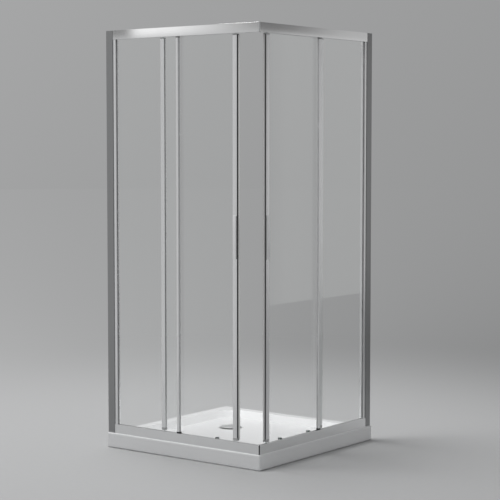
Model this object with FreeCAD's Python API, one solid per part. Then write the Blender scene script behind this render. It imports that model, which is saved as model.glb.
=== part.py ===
"""Corner shower enclosure with two sliding doors that meet at the entry corner, on a square tray.

Millimetres, +Z up, origin at the bottom centre of the tray. The walls of the room are the planes
x = -tray_side / 2 and y = +tray_side / 2, and the entry corner is at (+x, -y).

Each glazed side is drawn in its own frame: t runs along the side from the entry corner to the
wall, u runs inwards from the outer face of the frame, and z is height. The right side is that
frame turned a quarter turn, and the left side is its mirror image.
"""

import FreeCAD
import Part
import math
import os

Vec = FreeCAD.Vector

# Overall sizes
tray_side = 900.0
tray_height = 70.0
enclosure_height = 1950.0
frame_setback = 8.0
overrun = 5.0
running_gap = 0.3
glazing_gap = 0.4
shaft_clearance = 0.05

# Tray: a cast shell with a flat rim, a sloped basin and ribs underneath
tray_corner_radius = 8.0
tray_edge_radius = 5.0
rim_width = 50.0
basin_corner_radius = 140.0
basin_slope_run = 36.0
basin_depth = 24.0
basin_fall = 8.0
basin_edge_radius = 4.0
basin_foot_radius = 14.0
skirt_wall = 12.0
skirt_recess_depth = 3.0
skirt_recess_height = 3.0
rib_width = 12.0
pocket_count = 4
pocket_height = 29.0
pocket_margin = 75.0
pocket_corner_radius = 10.0
rim_pocket_height = 60.0
rim_pocket_inset = 3.0

# Drain: flange, seal and back nut through the floor of the tray, and a loose cover
drain_x = -165.0
drain_y = 132.0
drain_hole_radius = 45.0
drain_recess_radius = 57.0
drain_recess_depth = 4.0
drain_well_radius = 72.0
drain_well_height = 24.0
flange_radius = 55.0
flange_thickness = 2.6
flange_bore_radius = 40.0
flange_step_radius = 37.0
flange_step_depth = 6.0
thread_clearance = 0.4
spigot_radius = 43.0
spigot_length = 11.0
spigot_bottom = 6.0
drain_seal_thickness = 1.4
drain_seal_margin = 1.0
nut_radius = 54.0
nut_height = 7.0
nut_lug_count = 6
nut_lug_width = 10.0
nut_lug_reach = 4.0
cover_radius = 49.0
cover_thickness = 2.0
cover_crown = 3.5
cover_flat_share = 0.6
cover_water_gap = 3.0
cover_leg_thickness = 2.0
cover_leg_width = 12.0
cover_leg_count = 3

# Rails: extrusions along the top and the bottom of each side
rail_height = 42.0
rail_depth = 42.0
rail_wall = 1.8
pocket_depth = 14.0
pocket_lip = 1.5
pocket_lip_height = 10.0
inner_lip_height = 16.0
ledge_height = 8.0
track_height = 6.0
bottom_track_height = 8.0
track_width = 2.0
track_centre = 32.0
port_radius = 3.4
port_bore_radius = 1.9
port_slot = 1.6
port_bite = 0.5
port_inset = 10.2
top_port_inset = 20.0
weep_slot_length = 24.0
weep_slot_height = 4.0
weep_slot_count = 3

# Fixed glass, its post and gaskets
glass_thickness = 5.0
fixed_glass_face = 8.0
fixed_glass_bite = 12.0
gasket_thickness = 1.5
gasket_lip_width = 2.5
gasket_lip_rise = 1.0
post_overlap = 11.0
post_width = 11.5
post_depth = 11.0
post_wall = 1.8
post_seal_thickness = 2.0
post_seal_fin = 0.8
post_seal_inset = 1.0
post_seal_setback = 5.5
post_foot_height = 6.5
post_foot_margin = 1.5
post_foot_sole = 2.5
post_foot_side = 0.7

# Wall channel and the wall stile that slides into it
channel_reach = 39.0
channel_width = 38.0
channel_wall = 2.0
channel_lip = 0.7
channel_lip_length = 3.0
wall_hole_radius = 2.75
wall_hole_inset = 150.0
wall_hole_count = 3
stile_wall = 1.7
stile_reveal = 4.0
stile_reach = 29.0
stile_hook = 3.0
nose_reach = 12.0
nose_wall = 1.5
cap_plate = 1.2
cap_plug_height = 12.0
cap_plug_length = 9.0
cap_plug_inset = 4.0

# Screws
frame_screw_radius = 1.85
frame_screw_length = 20.0
frame_screw_head_radius = 3.4
frame_screw_head_height = 2.2
flush_head_height = 1.5
connector_screw_length = 12.0
stile_screw_radius = 1.9
stile_screw_length = 10.0
stile_screw_head_radius = 4.0
stile_screw_head_height = 2.0
stile_screw_setback = 26.0
stile_screw_inset = 230.0
stile_screw_count = 3
screw_cap_radius = 6.5
screw_cap_wall = 1.2
screw_hole_clearance = 0.3

# Corner connectors between the rails
connector_half_gap = 4.0
tongue_length = 45.0
tongue_height = 9.0
tongue_width = 9.5
tongue_inset = 3.0

# Doors
door_width = 440.0
door_closed_start = 33.0
door_end_gap = 10.0
left_door_opening = 102.0
right_door_opening = 35.0
door_glass_face = 21.0
door_glass_drop = 30.0
door_glass_rise = 28.0
stile_gap = 2.0
glass_pocket_bite = 0.5
leading_width = 23.0
leading_depth = 18.0
leading_face = 14.0
leading_pocket = 13.0
leading_line = 8.0
leading_line_width = 0.8
leading_wall = 1.8
trailing_width = 21.0
trailing_depth = 13.0
trailing_face = 17.0
trailing_pocket = 10.0
trailing_wall = 1.8
bottom_cap_height = 12.0
top_cap_height = 5.0

# Magnetic strip on the leading stile, cut at 45 degrees for the corner
magnet_outer = 17.0
magnet_inner = 29.0
magnet_gap = 0.4
magnet_foot_depth = 3.0
magnet_foot_width = 9.0
magnet_foot_clearance = 0.2
magnet_wall = 1.4

# Handle
handle_height = 193.0
handle_middle = 1019.0
handle_width = 17.5
handle_plate = 3.0
handle_projection = 8.0
handle_foot_width = 11.0
handle_edge_radius = 1.2

# Top rollers
roller_inset = 85.0
hanger_length = 40.0
hanger_thickness = 2.0
hanger_bottom = 6.0
hanger_top = 34.0
hanger_corner_radius = 6.0
clamp_spacing = 24.0
clamp_height = 14.0
clamp_hole_radius = 4.0
clamp_screw_radius = 2.5
clamp_head_radius = 5.0
clamp_head_height = 2.2
top_wheel_radius = 9.5
top_groove_radius = 8.0
wheel_width = 6.6
groove_width = 2.6
stud_radius = 2.5
stud_head_radius = 4.0
stud_head_height = 1.4

# Bottom rollers with their release buttons
front_button_inset = 122.5
rear_button_inset = 99.0
button_height = 40.0
arm_offset = 22.0
arm_thickness = 2.0
arm_width = 8.0
hub_radius = 6.2
hub_height = 4.7
sleeve_radius = 5.2
button_hole_radius = 5.5
clamp_ring_radius = 6.0
clamp_ring_thickness = 2.3
bottom_wheel_radius = 8.5
bottom_groove_radius = 7.0
button_radius = 4.0
button_head_radius = 5.0
button_head_height = 3.6
button_travel = 1.5

# Door stops in the top rails
bumper_length = 9.5
bumper_bottom = 29.5
bumper_width = 12.0

# Places worked out from the sizes above
half_tray = tray_side / 2
frame_corner = half_tray - frame_setback
side_length = tray_side - frame_setback
bottom_rail_top = tray_height + rail_height
top_rail_bottom = enclosure_height - rail_height
stile_front = side_length - channel_reach - stile_reveal
channel_face = (rail_depth - channel_width) / 2
fixed_glass_back = fixed_glass_face + glass_thickness
glass_pocket_outer = fixed_glass_face - gasket_thickness
glass_pocket_inner = fixed_glass_back + gasket_thickness
pocket_back = glass_pocket_inner + pocket_lip
door_glass_back = door_glass_face + glass_thickness
track_outer = track_centre - track_width / 2
track_inner = track_centre + track_width / 2
plate_face = door_glass_back + running_gap
wheel_face = track_centre - wheel_width / 2
top_track_top = top_rail_bottom + ledge_height + track_height
bottom_track_top = tray_height + bottom_track_height
door_end = door_closed_start + door_width
door_travel = stile_front - door_end_gap - door_end
post_start = door_end - post_overlap
trailing_start = door_end - trailing_width


def face_of(outline, lift, holes):
    """Plane face from an outline and its holes; lift turns a pair of numbers into a point."""
    loops = []
    for loop in [outline] + list(holes):
        corners = [lift(*pair) for pair in loop]
        loops.append(Part.makePolygon(corners + [corners[0]]))
    return Part.makeFace(loops, "Part::FaceMakerBullseye")


def upright(outline, bottom, top, holes=()):
    """Extrusion that stands on end: its outline is in (t, u)."""
    face = face_of(outline, lambda t, u: Vec(t, u, bottom), holes)
    return face.extrude(Vec(0, 0, top - bottom))


def lengthwise(outline, start, end, holes=()):
    """Extrusion that lies along the side: its outline is in (u, z)."""
    face = face_of(outline, lambda u, z: Vec(start, u, z), holes)
    return face.extrude(Vec(end - start, 0, 0))


def crosswise(outline, outer, inner, holes=()):
    """Plate that stands across the depth of the side: its outline is in (t, z)."""
    face = face_of(outline, lambda t, z: Vec(t, outer, z), holes)
    return face.extrude(Vec(0, inner - outer, 0))


def rectangle(low_a, low_b, high_a, high_b):
    return [(low_a, low_b), (high_a, low_b), (high_a, high_b), (low_a, high_b)]


def block(t0, t1, u0, u1, z0, z1):
    return Part.makeBox(t1 - t0, u1 - u0, z1 - z0, Vec(t0, u0, z0))


def bar_across(t, z, radius, outer, inner):
    """Round bar along u."""
    return Part.makeCylinder(radius, inner - outer, Vec(t, outer, z), Vec(0, 1, 0))


def bar_along(u, z, radius, start, end):
    """Round bar along t."""
    return Part.makeCylinder(radius, end - start, Vec(start, u, z), Vec(1, 0, 0))


def bar_up(x, y, radius, bottom, top):
    return Part.makeCylinder(radius, top - bottom, Vec(x, y, bottom))


def turned(profile, centre, axis):
    """Solid of revolution: profile holds (radius, distance along axis) pairs about centre."""
    across = Vec(1, 0, 0) if axis.x == 0 else Vec(0, 1, 0)
    corners = [centre + across * radius + axis * along for radius, along in profile]
    face = Part.Face(Part.makePolygon(corners + [corners[0]]))
    return face.revolve(centre, axis, 360)


def joined(shapes):
    return shapes[0].fuse(shapes[1:]).removeSplitter()


def edges_where(shape, test):
    return [edge for edge in shape.Edges if test(edge)]


def place(shape, side):
    """Moves a piece from the frame of its side to the frame of the whole enclosure."""
    if side == "left":
        placed = shape.mirror(Vec(0, 0, 0), Vec(1, 0, 0))
    else:
        placed = shape.copy()
        placed.rotate(Vec(0, 0, 0), Vec(0, 0, 1), 90)
    placed.translate(Vec(frame_corner, -frame_corner, 0))
    return placed


def moved(shape, t):
    copy = shape.copy()
    copy.translate(Vec(t, 0, 0))
    return copy


# Tray and drain

floor_edge = tray_height - basin_depth
floor_low = floor_edge - basin_fall
flange_seat = floor_low - drain_recess_depth + drain_seal_thickness
thread_radius = drain_hole_radius - thread_clearance


def rounded_square(half_side, radius, z):
    """Wire of a square with round corners, centred on the tray."""
    flat = half_side - radius
    edges = []
    for quarter in range(4):
        turn = math.radians(90 * quarter)
        along = Vec(-math.sin(turn), math.cos(turn), 0)
        out = Vec(math.cos(turn), math.sin(turn), 0)
        start = out * half_side - along * flat + Vec(0, 0, z)
        end = out * half_side + along * flat + Vec(0, 0, z)
        centre = out * flat + along * flat
        middle = centre + (out + along) * (radius / math.sqrt(2)) + Vec(0, 0, z)
        finish = along * half_side + out * flat + Vec(0, 0, z)
        edges.append(Part.LineSegment(start, end).toShape())
        edges.append(Part.Arc(end, middle, finish).toShape())
    return Part.Wire(edges)


def basin():
    """What the basin takes out of the tray: sloped sides over a floor that falls to the drain."""
    rim_half = half_tray - rim_width
    slope = basin_slope_run / basin_depth
    depth = basin_depth + basin_fall + overrun
    run = slope * depth
    sides = Part.makeLoft([
        rounded_square(rim_half, basin_corner_radius, tray_height),
        rounded_square(rim_half - run, basin_corner_radius - run, tray_height - depth),
    ], True, True)
    above = Part.Face(rounded_square(rim_half, basin_corner_radius, tray_height))
    above = above.extrude(Vec(0, 0, overrun))
    reach = tray_side
    rise = basin_fall * reach / (half_tray + abs(drain_x))
    floor = turned(
        [(0, floor_low), (drain_recess_radius, floor_low), (reach, floor_low + rise),
         (reach, tray_height + overrun), (0, tray_height + overrun)],
        Vec(drain_x, drain_y, 0), Vec(0, 0, 1))
    return joined([sides, above]).common(floor)


def at_basin_rim(edge):
    """Edges where the sloped sides meet the flat rim."""
    box = edge.BoundBox
    inside = max(box.XMax, box.YMax, -box.XMin, -box.YMin) < half_tray - rim_width / 2
    return inside and box.ZMin > tray_height - running_gap


def at_basin_foot(edge):
    """Edges where the sloped sides meet the floor."""
    box = edge.BoundBox
    return floor_low < box.ZMin and box.ZMax < tray_height - basin_edge_radius


def floor_pockets():
    """Square pockets between the ribs under the floor, clear of the boss round the drain."""
    span = tray_side - 2 * pocket_margin
    pitch = (span + rib_width) / pocket_count
    size = pitch - rib_width
    boss = bar_up(drain_x, drain_y, drain_well_radius + rib_width, -overrun, tray_height)
    pockets = []
    for row in range(pocket_count):
        for column in range(pocket_count):
            x = -span / 2 + column * pitch
            y = -span / 2 + row * pitch
            pocket = Part.makeBox(size, size, pocket_height + overrun, Vec(x, y, -overrun))
            uprights = edges_where(pocket, lambda edge: edge.BoundBox.ZLength > pocket_height)
            pockets.append(pocket.makeFillet(pocket_corner_radius, uprights).cut(boss))
    return pockets


def rim_pockets():
    """Deep pockets between the skirt and the sloped sides, under the flat rim."""
    inner = half_tray - rim_width + rim_pocket_inset
    width = half_tray - skirt_wall - inner
    span = 2 * (inner - rib_width)
    pitch = (span + rib_width) / pocket_count
    depth = rim_pocket_height + overrun
    pockets = []
    for quarter in range(4):
        row = [Part.makeBox(width, pitch - rib_width, depth,
                            Vec(inner, number * pitch - span / 2, -overrun))
               for number in range(pocket_count)]
        row.append(Part.makeBox(width, width, depth, Vec(inner, inner, -overrun)))
        for pocket in row:
            pocket.rotate(Vec(0, 0, 0), Vec(0, 0, 1), 90 * quarter)
            pockets.append(pocket)
    return pockets


def shower_tray():
    body = Part.makeBox(tray_side, tray_side, tray_height, Vec(-half_tray, -half_tray, 0))
    uprights = edges_where(body, lambda edge: edge.BoundBox.ZLength > tray_height / 2)
    body = body.makeFillet(tray_corner_radius, uprights)
    top = edges_where(body, lambda edge: edge.BoundBox.ZMin > tray_height - running_gap)
    body = body.makeFillet(tray_edge_radius, top)
    body = body.cut(basin())
    body = body.makeFillet(basin_foot_radius, edges_where(body, at_basin_foot))
    body = body.makeFillet(basin_edge_radius, edges_where(body, at_basin_rim))
    recess_bottom = floor_low - drain_recess_depth
    foot = Part.Face(rounded_square(half_tray - skirt_recess_depth, tray_corner_radius, 0))
    step = Part.makeBox(tray_side, tray_side, skirt_recess_height, Vec(-half_tray, -half_tray, 0))
    cuts = floor_pockets() + rim_pockets()
    cuts.append(step.cut(foot.extrude(Vec(0, 0, skirt_recess_height))))
    cuts.append(bar_up(drain_x, drain_y, drain_well_radius, -overrun, drain_well_height))
    cuts.append(bar_up(drain_x, drain_y, drain_recess_radius, recess_bottom, tray_height))
    cuts.append(bar_up(drain_x, drain_y, drain_hole_radius, -overrun, tray_height))
    return body.cut(cuts)


def drain_flange():
    """Ring that clamps the waste to the tray, with a step in its bore for the cover's legs."""
    top = flange_seat + flange_thickness
    step = top - flange_step_depth
    shoulder = spigot_bottom + spigot_length
    return turned(
        [(flange_bore_radius, top), (flange_radius, top), (flange_radius, flange_seat),
         (thread_radius, flange_seat), (thread_radius, shoulder), (spigot_radius, shoulder),
         (spigot_radius, spigot_bottom), (flange_step_radius, spigot_bottom),
         (flange_step_radius, step), (flange_bore_radius, step)],
        Vec(drain_x, drain_y, 0), Vec(0, 0, 1))


def drain_seal():
    low = floor_low - drain_recess_depth
    inner = drain_hole_radius
    outer = flange_radius - drain_seal_margin
    return turned([(inner, low), (outer, low), (outer, flange_seat), (inner, flange_seat)],
                  Vec(drain_x, drain_y, 0), Vec(0, 0, 1))


def drain_nut():
    """Back nut under the tray, with lugs for a spanner."""
    low = drain_well_height - nut_height
    bore = thread_radius + shaft_clearance
    high = drain_well_height
    ring = turned([(bore, low), (nut_radius, low), (nut_radius, high), (bore, high)],
                  Vec(drain_x, drain_y, 0), Vec(0, 0, 1))
    lugs = []
    for number in range(nut_lug_count):
        lug = Part.makeBox(nut_lug_reach + nut_radius - bore - rail_wall, nut_lug_width, nut_height,
                           Vec(bore + rail_wall, -nut_lug_width / 2, low))
        lug.rotate(Vec(0, 0, 0), Vec(0, 0, 1), 360 / nut_lug_count * number)
        lug.translate(Vec(drain_x, drain_y, 0))
        lugs.append(lug)
    return joined([ring] + lugs)


def drain_cover():
    """Dished cover on legs that stand on the step in the flange's bore."""
    rim = flange_seat + flange_thickness + cover_water_gap
    step = flange_seat + flange_thickness - flange_step_depth
    top = rim + cover_thickness
    flat = cover_radius * cover_flat_share
    dome = turned(
        [(0, rim + cover_crown), (flat, rim + cover_crown), (cover_radius, rim), (cover_radius, top),
         (flat, top + cover_crown), (0, top + cover_crown)],
        Vec(drain_x, drain_y, 0), Vec(0, 0, 1))
    outer = flange_bore_radius - running_gap
    legs = []
    for number in range(cover_leg_count):
        leg = Part.makeBox(cover_leg_thickness, cover_leg_width, top - step,
                           Vec(outer - cover_leg_thickness - running_gap, -cover_leg_width / 2, step))
        leg.rotate(Vec(0, 0, 0), Vec(0, 0, 1), 360 / cover_leg_count * number)
        leg.translate(Vec(drain_x, drain_y, 0))
        legs.append(leg)
    return joined([dome] + legs)


# Rails

def screw_port(u, z, slot_up, start, end):
    """C-shaped port along a rail, which a frame screw cuts its thread in."""
    tube = bar_along(u, z, port_radius, start, end)
    bore = bar_along(u, z, port_bore_radius, start, end)
    reach = port_radius if slot_up else -port_radius
    low, high = sorted((z, z + reach))
    slot = block(start, end, u - port_slot / 2, u + port_slot / 2, low, high)
    return tube, [bore, slot]


top_ports = [
    (port_inset, top_rail_bottom + pocket_depth + pocket_lip + port_radius - port_bite, True),
    (top_port_inset, enclosure_height - rail_wall - port_radius + port_bite, False),
]
bottom_ports = [
    (port_inset, bottom_rail_top - pocket_depth - pocket_lip - port_radius + port_bite, False),
    (port_inset, tray_height + rail_wall + port_radius - port_bite, True),
]


def with_ports(rail, ports):
    for u, z, slot_up in ports:
        tube, hollows = screw_port(u, z, slot_up, 0, stile_front)
        rail = rail.fuse(tube).cut(hollows)
    return rail.removeSplitter()


def mitred(rail):
    """Cuts the corner end at 45 degrees and leaves room for the connector's web."""
    past = rail_depth + overrun
    waste = [(-overrun, -overrun), (connector_half_gap - overrun, -overrun),
             (connector_half_gap + past, past), (-overrun, past)]
    return rail.cut(upright(waste, 0, enclosure_height + overrun))


def top_rail():
    """Opens downwards: a pocket for the fixed glass, and a ledge with a raised track."""
    low = top_rail_bottom
    web = low + pocket_depth
    top = enclosure_height
    ledge = low + ledge_height
    lip_outer = glass_pocket_outer - pocket_lip
    section = [
        (0, low), (glass_pocket_outer, low), (glass_pocket_outer, low + pocket_lip_height),
        (lip_outer, low + pocket_lip_height), (lip_outer, low + rail_wall),
        (rail_wall, low + rail_wall), (rail_wall, web), (glass_pocket_inner, web),
        (glass_pocket_inner, low), (pocket_back, low), (pocket_back, web + pocket_lip),
        (rail_wall, web + pocket_lip), (rail_wall, top - rail_wall),
        (rail_depth - rail_wall, top - rail_wall), (rail_depth - rail_wall, ledge + rail_wall),
        (track_inner, ledge + rail_wall), (track_inner, top_track_top),
        (track_outer, top_track_top), (track_outer, ledge), (rail_depth, ledge),
        (rail_depth, top), (0, top),
    ]
    rail = mitred(with_ports(lengthwise(section, 0, stile_front), top_ports))
    hole = bar_up(connector_screw_place, connector_screw_inset,
                  frame_screw_radius + screw_hole_clearance, top - rail_wall - overrun / 2, top)
    return rail.cut([hole, flush_screw()])


def bottom_rail():
    """Opens upwards: a pocket for the fixed glass over a closed chamber, and a trough with a track."""
    low = tray_height
    top = bottom_rail_top
    web = top - pocket_depth
    lip_outer = glass_pocket_outer - pocket_lip
    lip_low = top - pocket_lip_height
    section = [
        (0, low), (rail_depth, low), (rail_depth, low + inner_lip_height),
        (rail_depth - rail_wall, low + inner_lip_height), (rail_depth - rail_wall, low + rail_wall),
        (track_inner, low + rail_wall), (track_inner, bottom_track_top),
        (track_outer, bottom_track_top), (track_outer, low + rail_wall),
        (pocket_back, low + rail_wall), (pocket_back, top), (glass_pocket_inner, top),
        (glass_pocket_inner, web), (rail_wall, web), (rail_wall, top - rail_wall),
        (lip_outer, top - rail_wall), (lip_outer, lip_low), (glass_pocket_outer, lip_low),
        (glass_pocket_outer, top), (0, top),
    ]
    chamber = rectangle(rail_wall, low + rail_wall, glass_pocket_inner, web - pocket_lip)
    rail = mitred(with_ports(lengthwise(section, 0, stile_front, [chamber]), bottom_ports))
    cuts = [bar_across(connector_screw_place, connector_screw_height,
                       frame_screw_radius + screw_hole_clearance, glass_pocket_inner - overrun,
                       pocket_back + overrun)]
    for number in range(weep_slot_count):
        middle = stile_front * (number + 1) / (weep_slot_count + 1)
        cuts.append(block(middle - weep_slot_length / 2, middle + weep_slot_length / 2,
                          rail_depth - rail_wall - overrun / 2, rail_depth + overrun,
                          low + rail_wall, low + rail_wall + weep_slot_height))
    return rail.cut(cuts)


# Corner connectors

top_tongue_low = enclosure_height - rail_wall - tongue_inset / 2 - tongue_height
bottom_tongue_low = bottom_ports[1][1] + port_radius + tongue_inset / 2
connector_screw_place = rail_depth - tongue_inset
connector_screw_inset = rail_wall + tongue_inset / 2 + tongue_width / 2
connector_screw_height = bottom_tongue_low + tongue_height / 2
tongue_outer = rail_wall + tongue_inset / 2


def connector(levels, tongue_low):
    """Diagonal web between the mitred rails, and a tongue that plugs into each of them."""
    gap = connector_half_gap
    pieces = []
    for inset, outset, low, high in levels:
        if inset == 0:
            plan = [(0, 0), (gap, 0), (outset + gap, outset), (outset, outset), (outset, outset + gap),
                    (0, gap)]
        else:
            plan = [(inset, inset), (inset + gap, inset), (outset + gap, outset), (outset, outset),
                    (outset, outset + gap), (inset, inset + gap)]
        pieces.append(upright(plan, low, high))
    end = tongue_outer + gap + tongue_length
    tongue = block(tongue_outer, end, tongue_outer, tongue_outer + tongue_width,
                   tongue_low, tongue_low + tongue_height)
    pieces.append(tongue)
    pieces.append(tongue.mirror(Vec(0, 0, 0), Vec(1, -1, 0)))
    return joined(pieces)


def top_corner_connector():
    levels = [
        (0, pocket_back, top_rail_bottom, enclosure_height),
        (pocket_back, rail_depth, top_rail_bottom + ledge_height, enclosure_height),
    ]
    body = connector(levels, top_tongue_low)
    pilot = bar_up(connector_screw_place, connector_screw_inset, frame_screw_radius,
                   enclosure_height - connector_screw_length, enclosure_height)
    return place(body.cut([pilot, pilot.mirror(Vec(0, 0, 0), Vec(1, -1, 0))]), "left")


def bottom_corner_connector():
    levels = [
        (0, pocket_back, tray_height, bottom_rail_top),
        (pocket_back, rail_depth, tray_height, tray_height + inner_lip_height),
    ]
    body = connector(levels, bottom_tongue_low)
    pilot = bar_across(connector_screw_place, connector_screw_height, frame_screw_radius,
                       pocket_back - connector_screw_length, pocket_back)
    return place(body.cut([pilot, pilot.mirror(Vec(0, 0, 0), Vec(1, -1, 0))]), "left")


# Wall channel and wall stile

def wall_hole_heights():
    low = tray_height + wall_hole_inset
    high = enclosure_height - wall_hole_inset
    return [low + (high - low) * number / (wall_hole_count - 1) for number in range(wall_hole_count)]


def wall_channel():
    """U-shaped channel that is screwed to the wall of the room."""
    start = side_length - channel_reach
    outer = channel_face
    inner = channel_face + channel_width
    lip = channel_wall + channel_lip
    turn = start + channel_lip_length
    back = side_length - channel_wall
    section = [
        (side_length, outer), (side_length, inner), (start, inner), (start, inner - lip),
        (turn, inner - lip), (turn, inner - channel_wall), (back, inner - channel_wall),
        (back, outer + channel_wall), (turn, outer + channel_wall), (turn, outer + lip),
        (start, outer + lip), (start, outer),
    ]
    channel = upright(section, tray_height, enclosure_height - cap_plate)
    middle = rail_depth / 2
    cuts = [bar_along(middle, z, wall_hole_radius, back - overrun, side_length + overrun)
            for z in wall_hole_heights()]
    cuts += [bar_across(stile_screw_place, z, stile_screw_radius + screw_hole_clearance,
                        inner - channel_wall - overrun, inner + overrun)
             for z in stile_screw_heights()]
    return channel.cut(cuts)


def channel_cap():
    """Plate that closes the top of the channel, with a plug behind the stile."""
    start = stile_front + running_gap
    low = enclosure_height - cap_plate
    plate = block(start, side_length, channel_face, channel_face + channel_width, low, enclosure_height)
    back = side_length - channel_wall - running_gap
    plug = block(back - cap_plug_length, back, channel_face + cap_plug_inset,
                 channel_face + channel_width - cap_plug_inset, low - cap_plug_height, low)
    return joined([plate, plug])


stile_outer = channel_face + channel_wall + channel_lip + running_gap
stile_inner = rail_depth - stile_outer
stile_screw_place = side_length - stile_screw_setback


def stile_screw_heights():
    low = tray_height + stile_screw_inset
    high = enclosure_height - stile_screw_inset
    return [low + (high - low) * number / (stile_screw_count - 1)
            for number in range(stile_screw_count)]


def wall_stile():
    """C-shaped stile that telescopes in the channel, with a glazing nose between the rails."""
    back = stile_front + stile_reach
    hook = back - stile_wall
    wall = stile_wall
    section = [
        (stile_front, stile_outer), (back, stile_outer), (back, stile_outer + stile_hook),
        (hook, stile_outer + stile_hook), (hook, stile_outer + wall),
        (stile_front + wall, stile_outer + wall), (stile_front + wall, stile_inner - wall),
        (hook, stile_inner - wall), (hook, stile_inner - stile_hook),
        (back, stile_inner - stile_hook), (back, stile_inner), (stile_front, stile_inner),
    ]
    body = upright(section, tray_height, enclosure_height - cap_plate)
    tip = stile_front - nose_reach
    noses = [
        block(tip, stile_front, glass_pocket_outer - nose_wall, glass_pocket_outer,
              bottom_rail_top, top_rail_bottom),
        block(tip, stile_front, glass_pocket_inner, glass_pocket_inner + nose_wall,
              bottom_rail_top, top_rail_bottom),
    ]
    body = joined([body] + noses)
    cuts = [bar_along(u, z, frame_screw_radius + screw_hole_clearance,
                      stile_front - overrun, stile_front + wall + overrun / 2)
            for u, z, slot_up in top_ports + bottom_ports]
    cuts += [bar_across(stile_screw_place, z, stile_screw_radius,
                        stile_inner - wall - overrun / 2, stile_inner + overrun)
             for z in stile_screw_heights()]
    return body.cut(cuts)


# Screws and their caps

def frame_screw(start, axis, length):
    """Pan-head self-cutting screw; start is under its head."""
    head = frame_screw_head_radius
    shank = frame_screw_radius
    return turned([(0, -frame_screw_head_height), (head, -frame_screw_head_height), (head, 0),
                   (shank, 0), (shank, length), (0, length)], start, axis)


def flush_screw():
    """Countersunk screw through the roof of the top rail into the corner connector."""
    shank = frame_screw_radius
    return turned([(0, 0), (frame_screw_head_radius, 0), (shank, flush_head_height),
                   (shank, connector_screw_length), (0, connector_screw_length)],
                  Vec(connector_screw_place, connector_screw_inset, enclosure_height), Vec(0, 0, -1))


def frame_screws():
    screws = []
    for side in ("left", "right"):
        for u, z, slot_up in top_ports + bottom_ports:
            screw = frame_screw(Vec(stile_front + stile_wall, u, z), Vec(-1, 0, 0), frame_screw_length)
            screws.append(place(screw, side))
        low = frame_screw(Vec(connector_screw_place, pocket_back, connector_screw_height),
                          Vec(0, -1, 0), connector_screw_length)
        screws.append(place(low, side))
        screws.append(place(flush_screw(), side))
    return screws


def stile_screws():
    inner = channel_face + channel_width
    screws = []
    for side in ("left", "right"):
        for z in stile_screw_heights():
            screw = turned([(0, stile_screw_head_height), (stile_screw_head_radius, stile_screw_head_height),
                            (stile_screw_head_radius, 0), (stile_screw_radius - shaft_clearance, 0),
                            (stile_screw_radius - shaft_clearance, -stile_screw_length),
                            (0, -stile_screw_length)],
                           Vec(stile_screw_place, inner, z), Vec(0, 1, 0))
            screws.append(place(screw, side))
    return screws


def screw_caps():
    """Snap-on covers over the heads of the stile screws, on the cabin side."""
    inner = channel_face + channel_width
    roof = stile_screw_head_height + running_gap
    hollow = stile_screw_head_radius + running_gap
    profile = [(hollow, 0), (screw_cap_radius, 0), (screw_cap_radius - screw_cap_wall, roof + screw_cap_wall),
               (0, roof + screw_cap_wall), (0, roof), (hollow, roof)]
    caps = []
    for side in ("left", "right"):
        for z in stile_screw_heights():
            caps.append(place(turned(profile, Vec(stile_screw_place, inner, z), Vec(0, 1, 0)), side))
    return caps


# Fixed glass, post and gaskets

post_end = post_start + post_width
post_outer = fixed_glass_face + glass_thickness / 2 - post_depth / 2
post_inner = post_outer + post_depth
glass_edge_at_wall = stile_front - gasket_thickness


def fixed_glass():
    return block(post_start + post_wall + glazing_gap, glass_edge_at_wall, fixed_glass_face,
                 fixed_glass_back, bottom_rail_top - fixed_glass_bite,
                 top_rail_bottom + fixed_glass_bite)


def post_section():
    """Channel that caps the free edge of the fixed glass."""
    throat = post_start + post_wall
    outer = fixed_glass_face - glazing_gap
    inner = fixed_glass_back + glazing_gap
    return [
        (post_start, post_outer), (post_end, post_outer), (post_end, outer), (throat, outer),
        (throat, inner), (post_end, inner), (post_end, post_inner), (post_start, post_inner),
    ]


def fixed_post():
    return upright(post_section(), bottom_rail_top + post_foot_sole, top_rail_bottom - post_foot_sole)


def post_seal():
    """Strip along the corner face of the post, with a fin towards the door."""
    outer = post_outer + post_seal_setback
    fin_tip = trailing_face - running_gap
    start = post_start - post_seal_thickness
    section = [
        (start, outer), (post_start, outer), (post_start, post_inner - post_seal_inset),
        (start + post_seal_fin, post_inner - post_seal_inset), (start + post_seal_fin, fin_tip),
        (start, fin_tip),
    ]
    return upright(section, bottom_rail_top + post_foot_height, top_rail_bottom - post_foot_height)


def post_feet():
    """Plastic shoes that hold the ends of the post on the rails."""
    feet = []
    start = post_start - post_seal_thickness - post_foot_side
    end = post_end + post_foot_margin - post_foot_side
    inner = trailing_face - running_gap
    for side in ("left", "right"):
        for low, sole in ((bottom_rail_top, bottom_rail_top),
                          (top_rail_bottom - post_foot_height, top_rail_bottom - post_foot_sole)):
            foot = block(start, end, post_outer - post_foot_side, inner, low, low + post_foot_height)
            socket = block(post_start, post_end, post_outer, post_inner, low - overrun,
                           low + post_foot_height + overrun)
            sole_plate = block(post_start, post_end, post_outer, post_inner, sole, sole + post_foot_sole)
            slot = block(post_start + post_wall + glazing_gap, end + overrun,
                         fixed_glass_face, fixed_glass_back,
                         low - overrun, low + post_foot_height + overrun)
            feet.append(place(joined([foot.cut(socket), sole_plate]).cut(slot), side))
    return feet


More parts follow.
